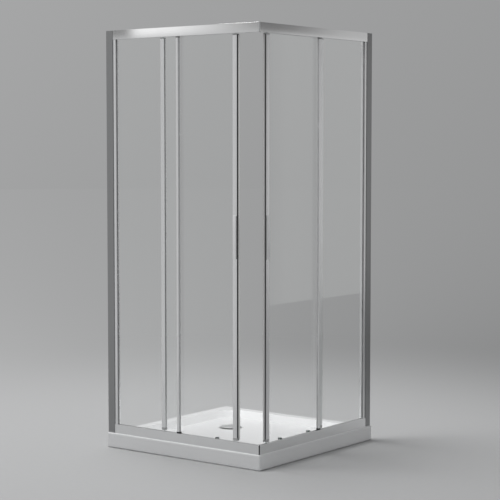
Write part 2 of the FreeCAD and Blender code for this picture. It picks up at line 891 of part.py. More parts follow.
def glazing_gasket():
    """Rubber round the wall edge of the fixed glass, and strips in the pockets of both rails."""
    tip = stile_front - nose_reach
    lip = tip - gasket_lip_width
    outer = glass_pocket_outer
    inner = glass_pocket_inner
    section = [
        (lip, outer - gasket_lip_rise), (tip, outer - gasket_lip_rise), (tip, outer),
        (stile_front, outer), (stile_front, inner), (tip, inner), (tip, inner + gasket_lip_rise),
        (lip, inner + gasket_lip_rise), (lip, fixed_glass_back), (glass_edge_at_wall, fixed_glass_back),
        (glass_edge_at_wall, fixed_glass_face), (lip, fixed_glass_face),
    ]
    pieces = [upright(section, bottom_rail_top, top_rail_bottom)]
    start = post_start + post_wall + glazing_gap
    for low, high in ((bottom_rail_top - pocket_lip_height, bottom_rail_top),
                      (top_rail_bottom, top_rail_bottom + pocket_lip_height)):
        for u0, u1 in ((outer, fixed_glass_face), (fixed_glass_back, inner)):
            pieces.append(block(start, glass_edge_at_wall, u0, u1, low, high))
    return pieces


# Doors, drawn in the closed position

stile_low = bottom_rail_top + stile_gap + bottom_cap_height
stile_high = top_rail_bottom - stile_gap - top_cap_height
glass_low = bottom_rail_top - door_glass_drop
glass_high = top_rail_bottom + door_glass_rise
throat_outer = door_glass_face - glazing_gap
throat_inner = door_glass_back + glazing_gap
leading_throat = door_closed_start + leading_width - leading_pocket
trailing_throat = trailing_start + trailing_pocket
hanger_places = (door_closed_start + roller_inset, door_end - roller_inset)
button_places = (door_closed_start + front_button_inset, door_end - rear_button_inset)
clamp_z = top_rail_bottom + clamp_height
top_wheel_z = top_track_top + running_gap + top_groove_radius
bottom_wheel_z = bottom_track_top + running_gap + bottom_groove_radius
button_z = tray_height + button_height


def door_glass():
    pane = block(leading_throat + glass_pocket_bite, trailing_throat - glass_pocket_bite,
                 door_glass_face, door_glass_back, glass_low, glass_high)
    holes = [bar_across(t + offset, clamp_z, clamp_hole_radius, door_glass_face - overrun,
                        door_glass_back + overrun)
             for t in hanger_places for offset in (-clamp_spacing / 2, clamp_spacing / 2)]
    holes += [bar_across(t, button_z, button_hole_radius, door_glass_face - overrun,
                         door_glass_back + overrun) for t in button_places]
    return pane.cut(holes)


def leading_section():
    """Outline and chambers of the stile at the leading edge, with a slot for the magnetic strip."""
    start = door_closed_start
    end = start + leading_width
    back = leading_face + leading_depth
    line = start + leading_line
    groove = leading_line_width / 2
    middle = (magnet_outer + magnet_inner) / 2
    slot_outer = middle - magnet_foot_width / 2
    slot_inner = middle + magnet_foot_width / 2
    slot_end = start + magnet_foot_depth
    outline = [
        (start, leading_face), (line - groove, leading_face), (line, leading_face + leading_line_width),
        (line + groove, leading_face), (end, leading_face), (end, throat_outer),
        (leading_throat, throat_outer), (leading_throat, throat_inner), (end, throat_inner),
        (end, back), (start, back), (start, slot_inner), (slot_end, slot_inner),
        (slot_end, slot_outer), (start, slot_outer),
    ]
    wall = leading_wall
    chambers = [
        rectangle(leading_throat + wall, leading_face + wall, end - wall, throat_outer - wall),
        rectangle(leading_throat + wall, throat_inner + wall, end - wall, back - wall),
        rectangle(slot_end + wall, slot_outer, leading_throat - wall, slot_inner),
    ]
    return outline, chambers


def leading_stile():
    outline, chambers = leading_section()
    return upright(outline, stile_low, stile_high, chambers)


def trailing_section():
    back = trailing_face + trailing_depth
    outline = [
        (trailing_start, trailing_face), (door_end, trailing_face), (door_end, back),
        (trailing_start, back), (trailing_start, throat_inner), (trailing_throat, throat_inner),
        (trailing_throat, throat_outer), (trailing_start, throat_outer),
    ]
    wall = trailing_wall
    chambers = [rectangle(trailing_throat + wall, trailing_face + wall, door_end - wall, back - wall)]
    return outline, chambers


def trailing_stile():
    outline, chambers = trailing_section()
    return upright(outline, stile_low, stile_high, chambers)


def stile_caps():
    """Plastic ends of both stiles, with a peg in one chamber of each stile."""
    leading_outline, leading_chambers = leading_section()
    trailing_outline, trailing_chambers = trailing_section()
    caps = []
    for outline, chamber in ((leading_outline, leading_chambers[2]),
                             (trailing_outline, trailing_chambers[0])):
        (t0, u0), (t1, u1) = chamber[0], chamber[2]
        peg = rectangle(t0 + running_gap, u0 + running_gap, t1 - running_gap, u1 - running_gap)
        for low, high, peg_end in (
                (stile_low - bottom_cap_height, stile_low, stile_low + bottom_cap_height),
                (stile_high, stile_high + top_cap_height, stile_high - bottom_cap_height)):
            caps.append(joined([upright(outline, low, high),
                                upright(peg, min(low, peg_end), max(high, peg_end))]))
    return caps


def magnet_strip():
    """Hollow strip that meets the strip of the other door on the diagonal of the corner."""
    start = door_closed_start
    middle = (magnet_outer + magnet_inner) / 2
    foot_outer = middle - magnet_foot_width / 2 + magnet_foot_clearance
    foot_inner = middle + magnet_foot_width / 2 - magnet_foot_clearance
    foot_end = start + magnet_foot_depth - magnet_foot_clearance
    outline = [
        (start, magnet_outer), (start, foot_outer), (foot_end, foot_outer), (foot_end, foot_inner),
        (start, foot_inner), (start, magnet_inner), (magnet_inner + magnet_gap, magnet_inner),
        (magnet_outer + magnet_gap, magnet_outer),
    ]
    wall = magnet_wall
    low = magnet_outer + wall
    high = magnet_inner - wall
    slant = magnet_gap + wall * math.sqrt(2)
    chamber = [(low + slant, low), (start - wall, low), (start - wall, high), (high + slant, high)]
    return upright(outline, stile_low, stile_high, [chamber])


def handle():
    """Pull flush with the leading edge, with a lip over the rest of the stile for the fingers."""
    start = door_closed_start
    face = leading_face - handle_projection
    plate_back = face + handle_plate
    outline = [
        (start, face), (start + handle_width, face), (start + handle_width, plate_back),
        (start + handle_foot_width, plate_back), (start + handle_foot_width, leading_face),
        (start, leading_face),
    ]
    low = handle_middle - handle_height / 2
    body = upright(outline, low, low + handle_height)
    front = edges_where(body, lambda edge: edge.BoundBox.YMax < face + handle_plate / 2)
    return body.makeFillet(handle_edge_radius, front)


def roller_hangers():
    """Plates on the cabin side of the glass that carry the top wheels."""
    hangers = []
    for t in hanger_places:
        half = hanger_length / 2
        plate = block(t - half, t + half, plate_face, plate_face + hanger_thickness,
                      top_rail_bottom + hanger_bottom, top_rail_bottom + hanger_top)
        corners = edges_where(plate, lambda edge: edge.BoundBox.YLength > hanger_thickness / 2)
        plate = plate.makeFillet(hanger_corner_radius, corners)
        holes = [bar_across(t + offset, clamp_z, clamp_screw_radius + shaft_clearance,
                            plate_face - overrun, plate_face + overrun)
                 for offset in (-clamp_spacing / 2, clamp_spacing / 2)]
        holes.append(bar_across(t, top_wheel_z, stud_radius, plate_face - overrun, plate_face + overrun))
        hangers.append(plate.cut(holes))
    return hangers


def arm_places():
    """Hub and wheel centres of both bottom arms, as (hub t, wheel t) pairs."""
    return [(t, t - arm_offset) for t in button_places]


def roller_arms():
    """Moulded arms: a hub in the glass, a bar down to the bottom wheel and a clamp ring outside."""
    pieces = []
    far = plate_face + arm_thickness
    hub_end = plate_face + hub_height
    for hub_t, wheel_t in arm_places():
        reach = math.hypot(hub_t - wheel_t, button_z - bottom_wheel_z)
        along = Vec(wheel_t - hub_t, 0, bottom_wheel_z - button_z) * (1 / reach)
        across = Vec(-along.z, 0, along.x) * (arm_width / 2)
        hub = Vec(hub_t, plate_face, button_z)
        foot = Vec(wheel_t, plate_face, bottom_wheel_z)
        corners = [hub + across, foot + across, foot - across, hub - across]
        bar = Part.Face(Part.makePolygon(corners + [corners[0]])).extrude(Vec(0, arm_thickness, 0))
        arm = joined([
            bar_across(hub_t, button_z, hub_radius, plate_face, hub_end), bar,
            bar_across(wheel_t, bottom_wheel_z, arm_width / 2, plate_face, far),
            bar_across(hub_t, button_z, sleeve_radius, door_glass_face, plate_face + arm_thickness),
        ])
        bore = bar_across(hub_t, button_z, button_radius + shaft_clearance, 0, rail_depth)
        stud_hole = bar_across(wheel_t, bottom_wheel_z, stud_radius, 0, rail_depth)
        pieces.append(arm.cut([bore, stud_hole]))
        ring = bar_across(hub_t, button_z, clamp_ring_radius, door_glass_face - clamp_ring_thickness,
                          door_glass_face)
        pieces.append(ring.cut(bore))
    return pieces


def stud(t, z):
    """Shouldered stud riveted into its plate, with a head that keeps the wheel on."""
    start = plate_face
    head = wheel_face + wheel_width + running_gap
    return joined([bar_across(t, z, stud_radius, start, head),
                   bar_across(t, z, stud_head_radius, head, head + stud_head_height)])


def roller_studs():
    """Wheel studs, and the screws that clamp the hangers to the glass."""
    pieces = [stud(t, top_wheel_z) for t in hanger_places]
    pieces += [stud(wheel_t, bottom_wheel_z) for hub_t, wheel_t in arm_places()]
    head_start = door_glass_face - clamp_head_height
    for t in hanger_places:
        for offset in (-clamp_spacing / 2, clamp_spacing / 2):
            pieces.append(joined([
                bar_across(t + offset, clamp_z, clamp_head_radius, head_start, door_glass_face),
                bar_across(t + offset, clamp_z, clamp_screw_radius, door_glass_face,
                           plate_face + hanger_thickness),
            ]))
    return pieces


def wheel(t, z, radius, groove_radius):
    """Grooved wheel that straddles the track."""
    groove = (wheel_width - groove_width) / 2
    bore = stud_radius + shaft_clearance
    return turned([(bore, 0), (radius, 0), (radius, groove), (groove_radius, groove),
                   (groove_radius, wheel_width - groove), (radius, wheel_width - groove),
                   (radius, wheel_width), (bore, wheel_width)],
                  Vec(t, wheel_face, z), Vec(0, 1, 0))


def release_button(t):
    """Push button whose stem runs through the hub and the glass."""
    head = plate_face + hub_height + button_travel + running_gap
    tip = door_glass_face - clamp_ring_thickness
    return joined([bar_across(t, button_z, button_radius, tip, head),
                   bar_across(t, button_z, button_head_radius, head, head + button_head_height)])


def door_stops():
    """Rubber bumpers under the top wall of each top rail, which the hangers meet at both ends."""
    reach = hanger_length / 2 + running_gap
    closed = hanger_places[0] - reach
    opened = hanger_places[1] + door_travel + reach
    stops = []
    for side in ("left", "right"):
        for t in (closed - bumper_length, opened):
            stops.append(place(block(t, t + bumper_length, plate_face - running_gap,
                                     plate_face - running_gap + bumper_width,
                                     top_rail_bottom + bumper_bottom, enclosure_height - rail_wall),
                               side))
    return stops


# All nodes

def build():
    nodes = {
        "shower_tray": [shower_tray()],
        "drain_flange": [drain_flange()],
        "drain_seal": [drain_seal()],
        "drain_nut": [drain_nut()],
        "drain_cover": [drain_cover()],
        "top_corner_connector": [top_corner_connector()],
        "bottom_corner_connector": [bottom_corner_connector()],
        "channel_caps": [place(channel_cap(), side) for side in ("left", "right")],
        "post_feet": post_feet(),
        "door_stops": door_stops(),
        "frame_screws": frame_screws(),
        "stile_screws": stile_screws(),
        "screw_caps": screw_caps(),
    }
    for side, opening in (("left", left_door_opening), ("right", right_door_opening)):
        fixed = {
            "wall_channel": [wall_channel()],
            "wall_stile": [wall_stile()],
            "glazing_gasket": glazing_gasket(),
            "fixed_glass": [fixed_glass()],
            "fixed_post": [fixed_post()],
            "post_seal": [post_seal()],
            "top_rail": [top_rail()],
            "bottom_rail": [bottom_rail()],
        }
        moving = {
            "door_glass": [door_glass()],
            "leading_stile": [leading_stile()],
            "trailing_stile": [trailing_stile()],
            "stile_caps": stile_caps(),
            "magnet_strip": [magnet_strip()],
            "handle": [handle()],
            "roller_hangers": roller_hangers(),
            "roller_arms": roller_arms(),
            "roller_studs": roller_studs(),
        }
        for end, t in zip(("front", "rear"), hanger_places):
            moving["top_%s_wheel" % end] = [wheel(t, top_wheel_z, top_wheel_radius, top_groove_radius)]
        for end, (hub_t, wheel_t) in zip(("front", "rear"), arm_places()):
            moving["bottom_%s_wheel" % end] = [
                wheel(wheel_t, bottom_wheel_z, bottom_wheel_radius, bottom_groove_radius)]
            moving["%s_button" % end] = [release_button(hub_t)]
        for name, shapes in fixed.items():
            nodes["%s_%s" % (side, name)] = [place(shape, side) for shape in shapes]
        for name, shapes in moving.items():
            nodes["%s_%s" % (side, name)] = [place(moved(shape, opening), side) for shape in shapes]
    return nodes


os.makedirs("parts", exist_ok=True)
for node, shapes in build().items():
    solids = [solid for shape in shapes for solid in shape.Solids]
    body = solids[0] if len(solids) == 1 else Part.makeCompound(solids)
    body.exportStep("parts/%s.step" % node)
    print("%-26s %2d solids, %9.1f cm3, valid %s" % (node, len(solids), body.Volume / 1000, body.isValid()))
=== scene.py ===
"""Corner shower enclosure: finishes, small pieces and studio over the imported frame.

Metres, +Z up, in the frame of the CAD. The left side of the enclosure runs along X and faces -Y,
and the right side runs along Y and faces +X. The entry corner is between them.
"""

import math

import bpy
from mathutils import Matrix, Vector


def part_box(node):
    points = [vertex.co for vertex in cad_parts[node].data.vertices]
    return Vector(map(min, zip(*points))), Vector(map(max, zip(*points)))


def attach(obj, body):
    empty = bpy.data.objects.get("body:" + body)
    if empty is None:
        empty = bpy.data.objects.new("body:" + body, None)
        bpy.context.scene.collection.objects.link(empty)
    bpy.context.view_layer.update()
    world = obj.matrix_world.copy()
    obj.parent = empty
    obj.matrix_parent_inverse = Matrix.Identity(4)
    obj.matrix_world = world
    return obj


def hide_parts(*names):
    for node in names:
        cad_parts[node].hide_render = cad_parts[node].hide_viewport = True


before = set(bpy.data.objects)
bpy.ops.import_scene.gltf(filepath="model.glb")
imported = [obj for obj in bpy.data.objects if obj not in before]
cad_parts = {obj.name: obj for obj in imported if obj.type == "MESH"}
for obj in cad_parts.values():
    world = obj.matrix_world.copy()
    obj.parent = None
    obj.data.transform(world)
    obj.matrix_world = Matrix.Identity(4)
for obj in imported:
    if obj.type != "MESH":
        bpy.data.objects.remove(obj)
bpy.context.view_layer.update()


# Shower tray
# One casting of stone resin under a smooth white gel coat, with a sloped basin and with ribs under
# its floor. The whole frame stands on its flat rim.

tray_white = (0.80, 0.805, 0.81, 1.0)
tray_shade = (0.75, 0.755, 0.76, 1.0)
tray_gloss = {"IOR": 1.5, "Specular IOR Level": 0.3, "Coat Weight": 0.12, "Coat Roughness": 0.12}
tray_roughness = 0.24
tray_roughness_swing = 0.08
tray_cloud_waves = 3.0
tray_ripple_waves = 60.0
tray_edge_radius = 0.008


class Wire:
    """An output of a shader node. Operators on it add Math nodes, and node adds any other node."""

    def __init__(self, tree, socket=None):
        self.tree = tree
        self.socket = socket

    def node(self, kind, settings, inputs, output=0):
        made = self.tree.nodes.new(kind)
        for name, value in settings.items():
            if name == "stops":
                ramp = made.color_ramp.elements
                for number, (place, colour) in enumerate(value):
                    stop = ramp[number] if number < len(ramp) else ramp.new(place)
                    stop.position = place
                    stop.color = colour
            else:
                setattr(made, name, value)
        for name, value in inputs.items():
            if isinstance(value, Wire):
                self.tree.links.new(value.socket, made.inputs[name])
            else:
                made.inputs[name].default_value = value
        return Wire(self.tree, made.outputs[output])

    def calculate(self, operation, first, second=0.0):
        return self.node("ShaderNodeMath", {"operation": operation}, {0: first, 1: second})

    def __add__(self, other):
        return self.calculate("ADD", self, other)

    def __radd__(self, other):
        return self.calculate("ADD", other, self)

    def __sub__(self, other):
        return self.calculate("SUBTRACT", self, other)

    def __rsub__(self, other):
        return self.calculate("SUBTRACT", other, self)

    def __mul__(self, other):
        return self.calculate("MULTIPLY", self, other)

    def __rmul__(self, other):
        return self.calculate("MULTIPLY", other, self)

    def __pow__(self, other):
        return self.calculate("POWER", self, other)

    def __abs__(self):
        return self.calculate("ABSOLUTE", self)

    def __gt__(self, other):
        return self.calculate("GREATER_THAN", self, other)

    def __lt__(self, other):
        return self.calculate("LESS_THAN", self, other)


def new_finish(name, constants):
    """Material whose Principled shader has these constants on its own sockets."""
    material = bpy.data.materials.new(name)
    material.use_nodes = True
    shader = material.node_tree.nodes["Principled BSDF"]
    for socket, value in constants.items():
        shader.inputs[socket].default_value = value
    return material, Wire(material.node_tree)


def feed(material, socket, wire):
    shader = material.node_tree.nodes["Principled BSDF"]
    material.node_tree.links.new(wire.socket, shader.inputs[socket])


def place_on_object(start):
    return start.node("ShaderNodeTexCoord", {}, {}, "Object")


def noise(place, *waves, detail=2.0):
    """Noise with its waves per metre: one number for all axes, or one each for X, Y and Z."""
    stretch = waves if len(waves) == 3 else waves * 3
    spread = place.node("ShaderNodeMapping", {}, {"Vector": place, "Scale": stretch})
    return place.node("ShaderNodeTexNoise", {}, {"Vector": spread, "Scale": 1.0, "Detail": detail},
                      "Fac")


def blend(first, second, share):
    """Colour that goes from the first to the second as share goes from 0 to 1."""
    return share.node("ShaderNodeMix", {"data_type": "RGBA"}, {0: share, 6: first, 7: second}, 2)


def relief(height, depth, strength, edge_radius=0.0):
    """Normal with a fine relief, over edges that look rounded off where they have a radius."""
    inputs = {"Height": height, "Distance": depth, "Strength": strength}
    if edge_radius:
        inputs["Normal"] = height.node("ShaderNodeBevel", {"samples": 4}, {"Radius": edge_radius})
    return height.node("ShaderNodeBump", {}, inputs)


def dress(node, finish):
    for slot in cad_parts[node].material_slots:
        slot.material = finish


def gel_coat():
    """Smooth white coat that is a little cloudy and ripples faintly."""
    material, start = new_finish("gel_coat", tray_gloss)
    place = place_on_object(start)
    cloud = noise(place, tray_cloud_waves)
    ripple = noise(place, tray_ripple_waves)
    feed(material, "Base Color", blend(tray_shade, tray_white, cloud * 0.5 + 0.5))
    feed(material, "Roughness", tray_roughness + (ripple - 0.5) * tray_roughness_swing)
    feed(material, "Normal", relief(ripple, depth=0.0002, strength=0.12,
                                    edge_radius=tray_edge_radius))
    return material


dress("shower_tray", gel_coat())


# Drain
# A steel flange, a rubber seal and a moulded back nut clamp the waste through the tray. The dished
# chrome cover stands in the flange on three legs, and lifts out for cleaning.

chrome_tone = (0.74, 0.744, 0.748, 1.0)
steel_tone = (0.58, 0.585, 0.59, 1.0)
black_tone = (0.012, 0.012, 0.013, 1.0)
rubber_tone = (0.03, 0.03, 0.031, 1.0)
metal_cloud_waves = 20.0
plastic_cloud_waves = 25.0
plastic_grain_waves = 2600.0
grain_roughness_swing = 0.12
sharp_angle = math.radians(50)
smooth_angle = math.radians(35)
cover_sides = 96
cover_rise = 0.0032
cover_roll = 0.0006
cover_wall = 0.0016
cover_legs = 3
cover_leg_circle = 0.0373
cover_leg_width = 0.010
# Insets from the rim to the crown: share of the radius, and share of the rise
cover_steps = ((0.012, 0.19), (0.014, 0.0), (0.02, -0.14), (0.02, 0.05), (0.03, 0.2), (0.08, 0.25),
               (0.12, 0.23), (0.16, 0.15), (0.2, 0.06), (0.2, 0.01))


def toned(tone, share, lift=0.0):
    """Tone made darker or paler by a share, and lifted."""
    return tuple(min(1.0, channel * share + lift) for channel in tone[:3]) + (1.0,)


def grained_metal(name, tone, roughness, waves):
    """Steel or plating with a fine grain and faint clouds."""
    material, start = new_finish(name, {"Metallic": 1.0})
    place = place_on_object(start)
    grain = noise(place, waves)
    cloud = noise(place, metal_cloud_waves)
    darker = toned(tone, share=0.86)
    feed(material, "Base Color", blend(darker, tone, cloud * 0.4 + 0.6 * grain))
    feed(material, "Roughness", roughness + (grain - 0.5) * grain_roughness_swing)
    feed(material, "Normal", relief(grain, depth=0.00005, strength=0.3))
    return material


def mould_surface(material, place, roughness, waves):
    """Shine and relief with the faint grain of a mould."""
    grain = noise(place, waves)
    feed(material, "Roughness", roughness + (grain - 0.5) * grain_roughness_swing)
    feed(material, "Normal", relief(grain, depth=0.00003, strength=0.4))


def moulded_plastic(name, tone, roughness, waves=plastic_grain_waves):
    """Plastic or rubber of one tone with faint clouds."""
    material, start = new_finish(name, {"IOR": 1.5})
    place = place_on_object(start)
    mould_surface(material, place, roughness, waves)
    cloud = noise(place, plastic_cloud_waves)
    paler = toned(tone, share=1.25, lift=0.004)
    feed(material, "Base Color", blend(tone, paler, cloud))
    return material


def begin(add, name, **size):
    """Adds a primitive alone, puts its place in its mesh and opens it."""
    bpy.ops.object.select_all(action="DESELECT")
    add(**size)
    piece = bpy.context.object
    piece.name = name
    bpy.ops.object.transform_apply(location=True, rotation=True, scale=True)
    bpy.ops.object.mode_set(mode="EDIT")
    bpy.ops.mesh.select_mode(type="FACE")
    return piece


def pick(piece, test):
    """Selects the faces of the open piece whose middle and normal pass the test."""
    bpy.ops.mesh.select_all(action="DESELECT")
    bpy.ops.object.mode_set(mode="OBJECT")
    for face in piece.data.polygons:
        face.select = test(face.center, face.normal)
    bpy.ops.object.mode_set(mode="EDIT")


def inset(thickness, depth=0.0, each=False):
    bpy.ops.mesh.inset(thickness=thickness, depth=depth, use_individual=each)


def extrude(offset):
    bpy.ops.mesh.extrude_region_move(TRANSFORM_OT_translate={"value": offset})


def round_off(piece, width, segments=2):
    """Closes the piece and bevels its sharp edges."""
    bpy.ops.object.mode_set(mode="OBJECT")
    edges = piece.modifiers.new("edges", "BEVEL")
    edges.width = width
    edges.segments = segments
    edges.limit_method = "ANGLE"
    edges.angle_limit = sharp_angle
    bpy.ops.object.modifier_apply(modifier="edges")
    bpy.ops.object.shade_smooth_by_angle(angle=smooth_angle)


def merge(pieces, name):
    """Joins the pieces into the first of them."""
    bpy.ops.object.select_all(action="DESELECT")
    for piece in pieces:
        piece.select_set(True)
    bpy.context.view_layer.objects.active = pieces[0]
    bpy.ops.object.join()
    pieces[0].name = name
    return pieces[0]


def hang(piece, body, node):
    """Hangs a finished piece on its body and lets it stand for its CAD node."""
    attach(piece, body)
    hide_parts(node)


def dish_cover():
    """Cover with a rolled rim and a shallow crown, on its legs."""
    low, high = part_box("drain_cover")
    middle = (low + high) / 2
    radius = (high.x - low.x) / 2
    rolled = high.z - cover_rise - cover_roll
    cover = begin(bpy.ops.mesh.primitive_circle_add, "drain_cover_dish", vertices=cover_sides,
                  radius=radius, fill_type="NGON", location=(middle.x, middle.y, rolled))
    pick(cover, lambda place, normal: True)
    for thickness, depth in cover_steps:
        inset(radius * thickness, cover_rise * depth)
    bpy.ops.object.mode_set(mode="OBJECT")
    wall = cover.modifiers.new("wall", "SOLIDIFY")
    wall.thickness = cover_wall
    wall.offset = -1.0
    bpy.ops.object.modifier_apply(modifier="wall")
    parts = [cover]
    for number in range(cover_legs):
        turn = math.radians(360 / cover_legs * number)
        spot = Vector((math.cos(turn), math.sin(turn), 0)) * cover_leg_circle
        leg = begin(bpy.ops.mesh.primitive_cube_add, "drain_cover_leg", size=1,
                    location=(middle.x + spot.x, middle.y + spot.y, (low.z + rolled) / 2),
                    rotation=(0, 0, turn), scale=(cover_wall, cover_leg_width, rolled - low.z))
        pick(leg, lambda place, normal: normal.z < -0.5)
        inset(cover_wall / 5, cover_wall / 4)
        bpy.ops.object.mode_set(mode="OBJECT")
        parts.append(leg)
    merge(parts, cover.name)
    bpy.ops.object.shade_smooth_by_angle(angle=smooth_angle)
    cover.data.materials.append(polished_cover)
    return cover


zinc_steel = grained_metal("zinc_steel", steel_tone, roughness=0.32, waves=1200.0)
polished_cover = grained_metal("polished_cover", chrome_tone, roughness=0.42, waves=500.0)
black_plastic = moulded_plastic("black_plastic", black_tone, roughness=0.38)
dark_rubber = moulded_plastic("dark_rubber", rubber_tone, roughness=0.62, waves=1500.0)

dress("drain_flange", zinc_steel)
dress("drain_seal", dark_rubber)
dress("drain_nut", black_plastic)
hang(dish_cover(), "drain_cover", "drain_cover")


# Wall channels
# Anodised aluminium extrusions with screw holes through their backs. Moulded caps close their tops,
# and snap-on caps cover the screws that fix the wall stiles inside them.

aluminium_tone = (0.90, 0.904, 0.908, 1.0)
# Painted shade: the channels are the same aluminium as the frame, made darker for the shade beside
# the walls
wall_shade_channel_tone = (0.33, 0.333, 0.336, 1.0)
cap_tone = (0.42, 0.425, 0.43, 1.0)
along_waves = 6.0
across_waves = 1500.0
extrusion_cloud_waves = 9.0
extrusion_edge_radius = 0.001
X, Y, Z = range(3)


def satin_aluminium(name, run, tone, roughness=0.3, line_strength=0.10):
    """Anodised extrusion with fine die lines along its run, which is X, Y or Z."""
    material, start = new_finish(name, {"Metallic": 1.0})
    place = place_on_object(start)
    waves = [across_waves] * 3
    waves[run] = along_waves
    lines = noise(place, *waves)
    cloud = noise(place, extrusion_cloud_waves)
    darker = toned(tone, share=0.90)
    feed(material, "Base Color", blend(darker, tone, 0.5 * lines + 0.5 * cloud))
    feed(material, "Roughness", roughness * (0.8 + 0.4 * lines))
    feed(material, "Normal", relief(lines, depth=0.00004, strength=line_strength,
                                    edge_radius=extrusion_edge_radius))
    return material


# The channels' finish carries painted shade: a darker copy of the frame's aluminium
shade_painted_channel = satin_aluminium("shade_painted_channel_aluminium", Z, wall_shade_channel_tone)
upright_aluminium = satin_aluminium("upright_aluminium", Z, aluminium_tone)
cap_plastic = moulded_plastic("cap_plastic", cap_tone, roughness=0.3)

for side in ("left", "right"):
    dress(side + "_wall_channel", shade_painted_channel)
dress("channel_caps", cap_plastic)
dress("stile_screws", zinc_steel)
dress("screw_caps", cap_plastic)


# Rails
# Anodised aluminium extrusions with a glazing pocket and a roller track. Their mitred ends meet at
# the entry corner on moulded connectors, and rubber bumpers in the top rails stop the doors.

rail_tone = (0.88, 0.884, 0.888, 1.0)
rail_roughness = 0.06
rail_line_strength = 0.02
filler_side = 0.0015
filler_joint = 0.0003
filler_plate = 0.0012
filler_foot = 0.0011
filler_drop = 0.005
corner_mirror = Matrix(((0, -1, 0, 0), (-1, 0, 0, 0), (0, 0, 1, 0), (0, 0, 0, 1)))


def copy_by(matrix, piece, name):
    """Copy of a piece with a mesh of its own, which the matrix moves, turns or mirrors."""
    copy = piece.copy()
    copy.data = piece.data.copy()
    copy.name = name
    bpy.context.collection.objects.link(copy)
    copy.data.transform(matrix)
    return copy


def mirrored(piece, name):
    """Mirror image of a left piece on the right side of the enclosure."""
    copy = copy_by(corner_mirror, piece, name)
    copy.data.flip_normals()
    return copy


def pocket_filler():
    """Channel strip that closes the empty glazing pocket of the left bottom rail at the entrance."""
    glass_low, glass_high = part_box("left_fixed_glass")
    rail_low, rail_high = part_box("left_bottom_rail")
    front = glass_low.y - filler_side
    back = glass_high.y + filler_side
    start = glass_high.x + filler_joint
    strip = begin(bpy.ops.mesh.primitive_cube_add, "left_pocket_filler", size=1,
                  location=((start + rail_high.x) / 2, (front + back) / 2,
                            rail_high.z - filler_joint - filler_plate / 2),
                  scale=(rail_high.x - start, back - front, filler_plate))
    bpy.ops.mesh.select_all(action="SELECT")
    bpy.ops.mesh.bisect(plane_co=(rail_high.x, rail_low.y, 0), plane_no=(1, 1, 0), use_fill=True,
                        clear_outer=True)
    for line in (front + filler_foot, back - filler_foot):
        bpy.ops.mesh.select_all(action="SELECT")
        bpy.ops.mesh.bisect(plane_co=(0, line, 0), plane_no=(0, 1, 0))
    pick(strip, lambda place, normal: normal.z < -0.5 and
         abs(place.y - (front + back) / 2) > (back - front) / 2 - filler_foot)
    extrude((0, 0, -filler_drop))
    round_off(strip, filler_joint)
    return strip


left_rail = satin_aluminium("left_rail_aluminium", X, rail_tone, rail_roughness, rail_line_strength)
right_rail = satin_aluminium("right_rail_aluminium", Y, rail_tone, rail_roughness,
                             rail_line_strength)
left_filler = pocket_filler()
right_filler = mirrored(left_filler, "right_pocket_filler")
for filler, finish in ((left_filler, left_rail), (right_filler, right_rail)):
    filler.data.materials.append(finish)
    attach(filler, "enclosure")

for level in ("top", "bottom"):
    dress("left_%s_rail" % level, left_rail)
    dress("right_%s_rail" % level, right_rail)
dress("top_corner_connector", cap_plastic)
dress("bottom_corner_connector", black_plastic)
dress("door_stops", dark_rubber)
dress("frame_screws", zinc_steel)


# Wall stiles
# Bright anodised extrusions that slide in the wall channels until they are screwed fast. The screws
# through them run into the ports of the rails, and their noses hold the fixed glass.

bright_tone = (0.88, 0.885, 0.89, 1.0)
bright_aluminium = satin_aluminium("bright_aluminium", Z, bright_tone, roughness=0.2)

for side in ("left", "right"):
    dress(side + "_wall_stile", bright_aluminium)


# Fixed panels
# Toughened clear glass of 5 mm in soft gaskets. A slim post caps the free edge of each panel, with
# a pale seal towards the door. Its moulded feet on the rails are black below and grey above.

glass_tint = (0.93, 0.96, 0.95, 1.0)
glass_edge = (0.20, 0.32, 0.28, 1.0)
glass_mirror = 0.04
glass_veil = 0.02
glass_edge_cover = 0.7
seal_tone = (0.42, 0.42, 0.425, 1.0)
pale_seal_tone = (0.52, 0.52, 0.525, 1.0)
seal_grain_waves = 900.0
head_tone = (0.34, 0.343, 0.346, 1.0)
head_level = 1.0
fleck_waves = 900.0


def two_tone_plastic(name, tone, other_tone, axis, is_other, roughness):
    """Moulded plastic that has its other tone where the test holds for the place along an axis."""
    material, start = new_finish(name, {"IOR": 1.5})
    place = place_on_object(start)
    mould_surface(material, place, roughness, plastic_grain_waves)
    along = start.node("ShaderNodeSeparateXYZ", {}, {"Vector": place}, "XYZ"[axis])
    flecks = noise(place, fleck_waves)
    feed(material, "Base Color", blend(tone, other_tone, is_other(along) * (0.9 + 0.1 * flecks)))
    return material


def clear_glass(name, facing):
    """Clear sheet that faces X or Y. Its share of mirror grows towards a glance along it."""
    material, start = new_finish(name, {"Metallic": 1.0, "Roughness": 0.02})
    glance = start.node("ShaderNodeLayerWeight", {}, {"Blend": 0.5}, "Facing")
    mirror = glass_mirror + (1.0 - glass_mirror) * glance ** 5.0
    normal = start.node("ShaderNodeTexCoord", {}, {}, "Normal")
    outwards = start.node("ShaderNodeSeparateXYZ", {}, {"Vector": normal}, "XYZ"[facing])
    edge = abs(outwards) < 0.5
    feed(material, "Base Color", blend(glass_tint, glass_edge, edge))
    feed(material, "Alpha", mirror * (1.0 - edge) + glass_veil + edge * glass_edge_cover)
    return material


sheets = {"left": clear_glass("left_glass", Y), "right": clear_glass("right_glass", X)}
soft_seal = moulded_plastic("soft_seal", seal_tone, roughness=0.5, waves=seal_grain_waves)
pale_seal = moulded_plastic("pale_seal", pale_seal_tone, roughness=0.45, waves=seal_grain_waves)
foot_plastic = two_tone_plastic("foot_plastic", black_tone, head_tone, Z,
                                lambda rise: rise > head_level, roughness=0.4)

for side in ("left", "right"):
    dress(side + "_fixed_glass", sheets[side])
    dress(side + "_glazing_gasket", soft_seal)
    dress(side + "_fixed_post", upright_aluminium)
    dress(side + "_post_seal", pale_seal)
dress("post_feet", foot_plastic)


